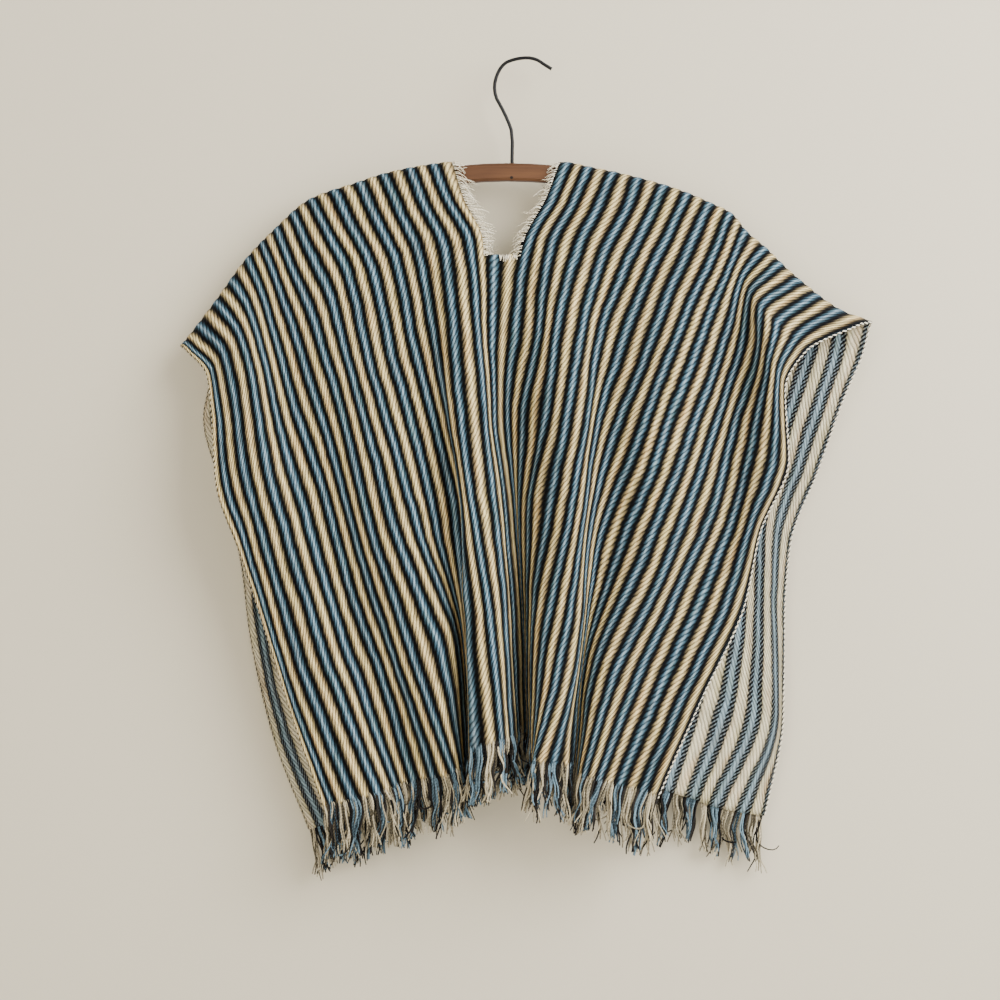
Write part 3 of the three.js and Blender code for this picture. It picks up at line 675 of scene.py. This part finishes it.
def hemStrands(panel, seed):
    chance = random.Random(seed)
    hem, above = sectionOf(panel, 1), sectionOf(panel, 0.985)       # the hem, and a little above it
    first, last = frontStripes[0][0], frontStripes[-1][0]
    front = 1 if panel is backPanel else -1
    margin = hemFringe["edgeMargin"]
    groups = []
    for number in range(-15, 16):
        for lock in hemFringe["locks"]:
            group = []
            for offset, material in lock:
                for layer in range(hemFringe["layers"]):
                    stripe = number + (offset + hemFringe["layerStep"] * layer) / cloth["repeat"]
                    inside = first + margin < stripe < last - margin
                    if inside and (not layer or chance.random() < hemFringe["secondLayer"]):
                        group.append((stripe, material, layer))
            if len(group) > hemFringe["splitOver"] and chance.random() < hemFringe["splitChance"]:
                groups += [group[:len(group) // 2], group[len(group) // 2:]]
            elif group:
                groups.append(group)
    strands = []
    rings = hemFringe["rings"]
    atMiddle, atSide = hemFringe["lengthAtMiddle"], hemFringe["lengthAtSide"]
    strayX, strayY = hemFringe["spread"]
    for group in groups:
        middleStripe = group[len(group) // 2][0]
        centre = hem(middleStripe)
        groupShift = Vector((chance.uniform(-strayX, strayX), chance.uniform(-strayY, strayY), 0))
        groupLength = chance.uniform(*hemFringe["lockLength"])
        groupPhase = chance.uniform(0, 2 * math.pi)
        for stripe, material, layer in group:
            edge = hem(stripe)
            down = (edge - above(stripe)).normalized()
            share = abs(stripe) / hemFringe["halfWidth"]
            length = atMiddle + (atSide - atMiddle) * share
            length *= groupLength * (1.07 - 0.27 * chance.random() ** 2)
            phases = [groupPhase + chance.uniform(-0.9, 0.9), chance.uniform(0, 2 * math.pi)]
            waves = chance.uniform(0.9, 1.7)
            amount = hemFringe["wiggle"] * chance.uniform(0.5, 1.6)
            curl = chance.uniform(-1, 1) ** 3 * hemFringe["curl"]
            way = chance.choice((-1, 1))
            twirls = chance.random() < hemFringe["twirlChance"]
            twirl = way * (chance.uniform(1.5, 3) if twirls else chance.uniform(0, 0.3))
            thick = hemFringe["radius"] * chance.uniform(*hemFringe["thickness"])
            start = hemFringe["overlap"] * chance.uniform(0.5, 1)
            spot = edge - down * start
            spot.y += front * (1.2 + 1.2 * layer)       # outside the cloth's wall
            path, radii = [], []
            for k in range(rings):
                s = min(k / (rings - 2), 1)
                if k:
                    heading = down.lerp(Vector((0, 0, -1)), min(s * 1.8, 1)).normalized()
                    heading.rotate(Euler((0, twirl * max(s - 0.5, 0) / 0.5, 0)))
                    stepLength = (length + start) / (rings - 2)
                    spot = spot + heading * (stepLength if k < rings - 1 else hemFringe["capLength"])
                swing = Vector([math.sin(phase + waves * 2 * math.pi * s) - math.sin(phase)
                                for phase in phases] + [0])
                gather = (centre - edge) * (hemFringe["gather"] * s ** 1.3)
                gather.z = 0
                place = spot + swing * amount * min(s * 2, 1) + groupShift * s ** 1.6 + gather
                place.x += curl * max(s - 0.6, 0) ** 2 * 6
                path.append(place)
                tapered = thick * (1 - hemFringe["taper"] * s ** 3)
                radii.append(tapered if 0 < k < rings - 1 else tipRadius)
            odd = chance.random()
            if odd < hemFringe["blackBelow"]:
                material = 1
            elif odd < hemFringe["creamBelow"]:
                material = 2
            tone = chance.choice(hemFringe["tones"]) + chance.uniform(-0.1, 0.1)
            strands.append((path, radii, material, tone))
    return strands


for name, panel, seed, node in (("frontHemYarns", frontPanel, 11, "fringe_front"),
                                ("backHemYarns", backPanel, 23, "fringe_back")):
    piece = makeStrands(name, hemStrands(panel, seed), hemFringe["sides"], [blueYarn, blackYarn, creamYarn])
    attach(piece, "root")
    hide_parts(node)
print("hem fringes hung")

# Frayed neck: short raw weft ends along both edges of the slot.
neckFray = {
    "spacing": 1.5,
    "radius": 0.55,
    "taper": 0.5,
    "lengths": {1: 15.0, -1: 11.5},         # left edge, right edge, mm
    "lengthSpread": (0.6, 1.2),
    "lowShare": (0.8, 0.85),    # ends lower than the first share are shorter by the second
    "rings": 11,
    "sides": 4,
    "droop": 0.35,
    "droopSpread": (0.2, 1.7),
    "bend": (-0.3, 0.45),
    "sway": 0.25,
    "depth": 2.2,
    "curl": 3.2,
    "firstAt": 2.0,             # mm from the shoulder line
    "inset": 2.5,               # the ends start this far inside the cloth, mm
    "footEnds": 14,
}


def neckStrands(stripe, inward, seed):
    chance = random.Random(seed)
    rings = neckFray["rings"]
    lowFrom, lowLength = neckFray["lowShare"]
    strands = []
    for panel in (frontPanel, backPanel):
        front = 1 if panel is backPanel else -1
        reach = cloth["slotEnd"] * cloth["drop"]
        place = neckFray["firstAt"]
        while place < reach + 1:
            t = place / cloth["drop"]
            line = sectionOf(panel, t)
            edge = line(stripe)
            across = (edge - line(stripe - inward * 0.2)).normalized()
            length = neckFray["lengths"][inward] * chance.uniform(*neckFray["lengthSpread"])
            length *= lowLength if place > reach * lowFrom else 1
            droop = neckFray["droop"] * chance.uniform(*neckFray["droopSpread"])
            bend = chance.uniform(*neckFray["bend"])
            sway = chance.uniform(-neckFray["sway"], neckFray["sway"])
            depth = chance.uniform(0, neckFray["depth"])
            curl = chance.uniform(-neckFray["curl"], neckFray["curl"])
            path, radii = [], []
            for k in range(rings):
                s = k / (rings - 1)
                spot = edge + across * (length * s - neckFray["inset"])
                spot = spot + Vector((0, 0, -1)) * length * droop * s * s
                spot.z += bend * length * s * (1 - s) + curl * math.sin(s * 5) * s
                spot.x += sway * length * s * s
                spot.y += front * (1.4 + depth * math.sin(math.pi * min(s * 1.2, 1)) - 1.2 * s)
                path.append(spot)
                tapered = neckFray["radius"] * (1 - neckFray["taper"] * s)
                radii.append(tapered if 0 < k < rings - 1 else tipRadius)
            strands.append((path, radii, 0, chance.uniform(0.2, 1)))
            place += neckFray["spacing"] * chance.uniform(0.6, 1.4)
    if inward < 0:                      # short ends left at the foot of the slot
        line = sectionOf(frontPanel, cloth["slotEnd"])
        for k in range(neckFray["footEnds"]):
            root = line(cloth["slot"][1] - 0.06 - 0.5 * k / (neckFray["footEnds"] - 1))
            lean, rise, drop = chance.uniform(-2.5, 2.5), chance.uniform(0.5, 2.2), chance.uniform(5, 9)
            path, radii = [], []
            for j in range(rings):
                s = j / (rings - 1)
                path.append(root + Vector((lean * s * s, -1.5 - 1.2 * math.sin(math.pi * s),
                                           rise * math.sin(3 * s) - drop * s)))
                radii.append(neckFray["radius"] if 0 < j < rings - 1 else tipRadius)
            strands.append((path, radii, 0, chance.uniform(0.2, 1)))
    return strands


for name, stripe, inward, node, seed in (("leftNeckFray", cloth["slot"][0], 1, "neck_fringe_left", 5),
                                         ("rightNeckFray", cloth["slot"][1], -1, "neck_fringe_right", 6)):
    piece = makeStrands(name, neckStrands(stripe, inward, seed), neckFray["sides"], [rawYarn])
    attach(piece, "root")
    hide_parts(node)
print("neck slot frayed")

# Selvages: a two-ply cord of black and white yarn along each side of the cloth.
selvage = {
    "radii": (0.42, 0.8),
    "tones": (0.4, 0.85),
    "plyOffset": 0.55,
    "pitch": 5.6,
    "step": 1.15,
    "sides": 6,
    "outward": 0.5,
    "rows": 90,                 # places along a panel's edge
}


def selvageStrands(stripe, outward):
    rows = []
    count = selvage["rows"]
    for k in range(-count, count + 1):
        t = k / count
        panel = backPanel if t > 0 else frontPanel
        line = sectionOf(panel, abs(t))
        edge = line(stripe)
        side = (edge - line(stripe - outward * 0.12)).normalized()
        rows.append(edge + side * selvage["outward"])
    # even steps along the edge
    lengths = [0.0]
    for a, b in zip(rows, rows[1:]):
        lengths.append(lengths[-1] + (b - a).length)
    total = int(lengths[-1] / selvage["step"])
    middle, k = [], 0
    for i in range(total + 1):
        place = lengths[-1] * i / total
        while k < len(lengths) - 2 and place > lengths[k + 1]:
            k += 1
        part = (place - lengths[k]) / (lengths[k + 1] - lengths[k])
        middle.append(rows[k].lerp(rows[k + 1], part))
    strands = []
    for ply in range(2):
        side = Vector((0, 1, 0))
        path = []
        for i, point in enumerate(middle):
            ahead = (middle[min(i + 1, total)] - middle[max(i - 1, 0)]).normalized()
            side = (side - ahead * side.dot(ahead)).normalized()
            other = ahead.cross(side)
            angle = 2 * math.pi * i * selvage["step"] / selvage["pitch"] + math.pi * ply
            path.append(point + (side * math.cos(angle) + other * math.sin(angle)) * selvage["plyOffset"])
        radii = [selvage["radii"][ply]] * len(path)
        radii[0] = radii[-1] = tipRadius
        strands.append((path, radii, ply, selvage["tones"][ply]))
    return strands


for name, stripe, outward, light in (("leftSelvageCord", frontStripes[0][0], -1, creamYarn),
                                     ("rightSelvageCord", frontStripes[-1][0], 1, rawYarn)):
    piece = makeStrands(name, selvageStrands(stripe, outward), selvage["sides"], [blackYarn, light])
    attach(piece, "root")
print("selvage cords twisted")

# Hanger bar: stained softwood, satin from handling, with grain along its length.
barWood = {
    "grainAcross": 260.0,
    "grainAlong": 9.0,
    "roughness": 0.5,
    "nailHole": (-0.0045, -0.006, -0.1176),
    "holeRadii": (0.0012, 0.0019),          # painted shade of a nail hole: wholly dark, and its soft rim, metres
}


def barMaterial():
    material, tree = newMaterial("stainedWood")
    place = add(tree, "TexCoord").outputs["Object"]
    along, over = barWood["grainAlong"], barWood["grainAcross"]
    stretch = add(tree, "Mapping", {"Vector": place, "Scale": (along, over, over)})
    grain = add(tree, "TexNoise", {
        "Vector": stretch, "Scale": 1.0, "Detail": 6.0, "Roughness": 0.65, "Distortion": 0.6,
    })
    wide = add(tree, "Mapping", {"Vector": place, "Scale": (14.0, 60.0, 60.0)})
    bands = add(tree, "TexNoise", {"Vector": wide, "Scale": 1.0, "Detail": 2.0})
    both = calc(tree, "MULTIPLY", bands.outputs["Fac"], 0.5)
    figure = calc(tree, "MULTIPLY_ADD", grain.outputs["Fac"], 0.6, both)
    tint = add(tree, "ValToRGB", {0: figure}, ramp=[(0.25, "#35200F"), (0.5, "#55361F"), (0.8, "#6C482C")])
    # painted shade: a dark spot for the shadowed inside of a nail hole low on the front
    away = add(tree, "VectorMath", {0: place, 1: barWood["nailHole"]}, operation="DISTANCE")
    core, rim = barWood["holeRadii"]
    holeShade = add(tree, "MapRange", {0: away.outputs["Value"], 1: core, 2: rim, 3: 1.0, 4: 0.0})
    tint = mixed(tree, holeShade, tint, colour("#120B07"))
    bump = add(tree, "Bump", {"Height": grain.outputs["Fac"], "Strength": 0.2, "Distance": 0.0003})
    surface = add(tree, "BsdfPrincipled", {
        "Base Color": tint, "Roughness": barWood["roughness"], "Normal": bump, "Specular IOR Level": 0.3,
    })
    add(tree, "OutputMaterial", {"Surface": surface})
    return material


# Hook: mild steel wire with a worn black lacquer.
def wireMaterial():
    material, tree = newMaterial("blackenedWire")
    place = add(tree, "TexCoord").outputs["Object"]
    wearAndPaintedHaze = add(tree, "TexNoise", {"Vector": place, "Scale": 420.0, "Detail": 4.0})
    tint = add(tree, "ValToRGB", {0: wearAndPaintedHaze.outputs["Fac"]},
               ramp=[(0.3, "#08080A"), (0.62, "#141416"), (0.8, "#2B2826")])
    rough = add(tree, "MapRange", {0: wearAndPaintedHaze.outputs["Fac"], 1: 0.3, 2: 0.7, 3: 0.4, 4: 0.6})
    bump = add(tree, "Bump", {"Height": wearAndPaintedHaze.outputs["Fac"], "Strength": 0.3, "Distance": 0.0001})
    surface = add(tree, "BsdfPrincipled", {
        "Base Color": tint, "Roughness": rough, "Normal": bump, "Specular IOR Level": 0.25,
    })
    add(tree, "OutputMaterial", {"Surface": surface})
    return material


for node, material in (("hanger_bar", barMaterial()), ("hanger_hook", wireMaterial())):
    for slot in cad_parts[node].material_slots:
        slot.material = material
print("hanger finished")

# Plain setting: a pale wall close behind, a pale floor below, soft daylight from the right.
setting = {
    "wallBehind": 0.03,
    "wallTop": 1.6,
    "floorBelow": -1.3,
    "reach": 3,                 # of the wall and the floor, metres
    "wallColour": "#E3DAC3",
    "floorColour": "#E0DCD4",
}


def plainMaterial(name, shade, seeThroughFromBehind):
    material, tree = newMaterial(name)
    place = add(tree, "TexCoord").outputs["Object"]
    grain = add(tree, "TexNoise", {"Vector": place, "Scale": 900.0, "Detail": 2.0})
    bump = add(tree, "Bump", {"Height": grain.outputs["Fac"], "Strength": 0.15, "Distance": 0.0003})
    surface = add(tree, "BsdfDiffuse", {"Color": colour(shade), "Normal": bump})
    if seeThroughFromBehind:            # so that the back of the cloth can be looked at
        clear = add(tree, "BsdfTransparent")
        facing = add(tree, "NewGeometry")
        surface = add(tree, "MixShader", {0: facing.outputs["Backfacing"], 1: surface, 2: clear})
    add(tree, "OutputMaterial", {"Surface": surface})
    return material


def makePlane(name, corners, material):
    bm = bmesh.new()
    bmesh.ops.create_grid(bm, x_segments=1, y_segments=1, size=1)
    bm.verts.ensure_lookup_table()
    for vert, corner in zip(bm.verts, corners):
        vert.co = corner
    piece = meshObject(name, bm, [material])
    return piece


behind, below = setting["wallBehind"], setting["floorBelow"]
reach = setting["reach"]
wall = makePlane("wall", [(x, behind, z) for z in (below, setting["wallTop"]) for x in (-reach, reach)],
                 plainMaterial("paintedWall", setting["wallColour"], True))
wall.visible_shadow = False
wall.visible_diffuse = False
wall.visible_glossy = False
makePlane("floor", [(x, y, below) for y in (-reach, reach) for x in (-reach, reach)],
          plainMaterial("paleFloor", setting["floorColour"], False))
print("setting made")


def makeLight(name, spot, target, size, power, shade):
    data = bpy.data.lights.new(name, "AREA")
    data.shape = "DISK"
    data.size = size
    data.energy = power
    data.color = colour(shade)[:3]
    lamp = bpy.data.objects.new(name, data)
    lamp.location = spot
    lamp.rotation_euler = (Vector(target) - Vector(spot)).to_track_quat("-Z", "Y").to_euler()
    bpy.context.scene.collection.objects.link(lamp)


middle = (0, -0.02, -0.42)
makeLight("window", (1.7, -1.6, 0.85), middle, 2.2, 120, "#FCFBFA")
makeLight("fill", (-1.5, -2.4, 0.1), middle, 2.2, 26, "#FFF4E2")
makeLight("edge", (1.15, -0.7, -0.1), (0.5, 0, -0.3), 0.7, 4.5, "#F7F8FF")
makeLight("behind", (0.4, 2.2, 0.9), middle, 1.6, 30, "#FFFFFF")

world = bpy.data.worlds.new("paleStudio")
world.use_nodes = True
world.node_tree.nodes.clear()
air = add(world.node_tree, "Background", {"Color": colour("#E4E2DE"), "Strength": 0.85})
add(world.node_tree, "OutputWorld", {"Surface": air})
bpy.context.scene.world = world

# Level view square to the wall from 2 m.
lens = bpy.data.cameras.new("camera")
lens.lens = 72
lens.sensor_width = 36
camera = bpy.data.objects.new("camera", lens)
camera.location = (-0.016, -2.0, -0.439)
camera.rotation_euler = (math.pi / 2, 0, 0)
bpy.context.scene.collection.objects.link(camera)
bpy.context.scene.camera = camera
print("lights and camera set")
